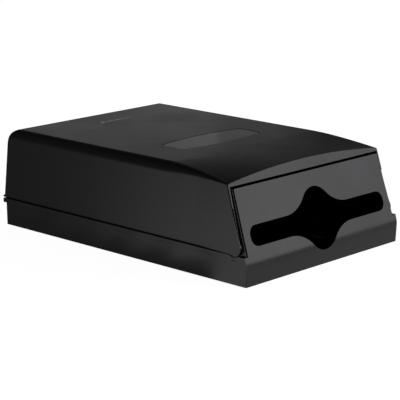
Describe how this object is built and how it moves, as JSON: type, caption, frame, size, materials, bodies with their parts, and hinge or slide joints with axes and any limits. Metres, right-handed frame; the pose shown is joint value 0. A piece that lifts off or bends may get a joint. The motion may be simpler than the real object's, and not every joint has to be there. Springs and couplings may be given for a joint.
{
  "type": "napkin dispenser",
  "caption": "Lockable gloss black napkin dispenser lying on its back plate, with a hinged cover, level window and a sloping end panel with a pull-out slot.",
  "frame": {"origin": "middle of the underside of the back plate's bounding box, as the dispenser lies on its back", "axes": "+X across the width, +Y from the slot end to the lock end, +Z out of the wall or up from the table, from the back plate to the cover's top"},
  "size_m": [0.2498, 0.379, 0.1112],
  "materials": {
    "gloss_black_abs": "glossy injection-moulded black ABS",
    "matte_black_abs": "satin black moulded plastic",
    "smoked_window": "dark smoked acrylic",
    "zinc_steel": "zinc-plated steel",
    "chrome": "chrome-plated lock parts"
  },
  "bodies": {
    "tray": {"base_tray": "gloss_black_abs", "guide_rail_left": "matte_black_abs", "guide_rail_right": "matte_black_abs", "hinge_pin_left": "zinc_steel", "hinge_pin_right": "zinc_steel", "keeper_screw_1": "zinc_steel", "keeper_screw_2": "zinc_steel", "lock_keeper": "zinc_steel", "rail_screw_left_1": "zinc_steel", "rail_screw_left_2": "zinc_steel", "rail_screw_left_3": "zinc_steel", "rail_screw_right_1": "zinc_steel", "rail_screw_right_2": "zinc_steel", "rail_screw_right_3": "zinc_steel"},
    "cover": {"cover_shell": "gloss_black_abs", "level_window": "smoked_window", "lock_body": "chrome", "lock_nut": "zinc_steel", "lock_washer": "zinc_steel", "window_retainer": "matte_black_abs", "window_screw_1": "zinc_steel", "window_screw_2": "zinc_steel", "window_screw_3": "zinc_steel", "window_screw_4": "zinc_steel"},
    "latch": {"lock_plug": "chrome", "lock_cam": "zinc_steel", "cam_screw": "zinc_steel"}
  },
  "joints": [
    {"name": "cover_hinge", "type": "hinge", "parent": "tray", "child": "cover", "pos_m": [0, -0.1715, 0.038], "axis": [1, 0, 0], "range_deg": [0, 95]},
    {"name": "lock_turn", "type": "hinge", "parent": "cover", "child": "latch", "pos_m": [0, 0.1705, 0.06], "axis": [0, 1, 0], "range_deg": [0, 90]}
  ]
}
